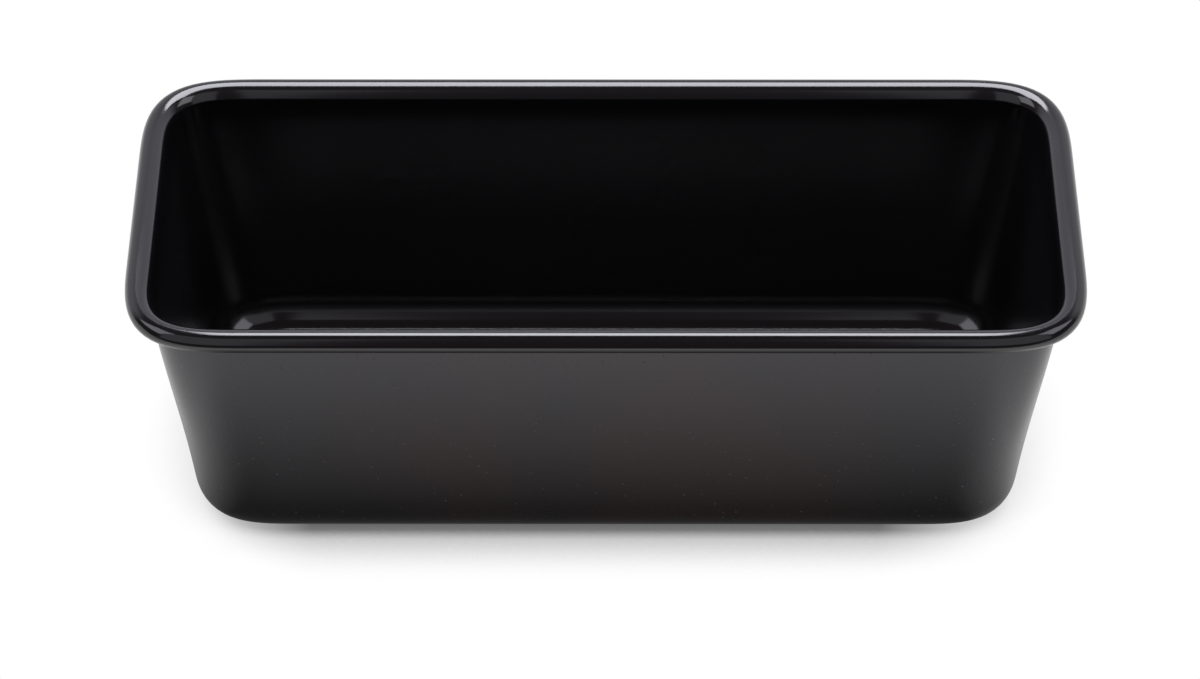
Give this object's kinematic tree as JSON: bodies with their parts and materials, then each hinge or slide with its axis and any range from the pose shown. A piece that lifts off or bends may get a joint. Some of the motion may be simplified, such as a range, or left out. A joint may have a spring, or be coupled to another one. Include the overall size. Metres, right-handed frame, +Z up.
{
  "type": "rectangular cake pan",
  "caption": "Deep rectangular loaf cake pan with sloping walls, soft corners and a wired, rolled rim; black enamelled steel, gloss inside and satin outside.",
  "frame": {"origin": "on the table, under the middle of the pan's flat underside", "axes": "+X along the pan's long side, +Y across it, +Z up out of the open mouth"},
  "size_m": [0.25, 0.112, 0.078],
  "materials": {
    "drawn_steel": "cold-rolled sheet, hidden under the enamel",
    "galvanised_wire": "drawn galvanised wire, hidden in the rim",
    "gloss_enamel": "high-gloss black enamel",
    "satin_enamel": "satin black enamel with a fine speckled grain"
  },
  "bodies": {
    "root": {"steel_pan": "drawn_steel", "rim_wire": "galvanised_wire", "inside_enamel": "gloss_enamel", "outside_enamel": "satin_enamel"}
  },
  "joints": []
}
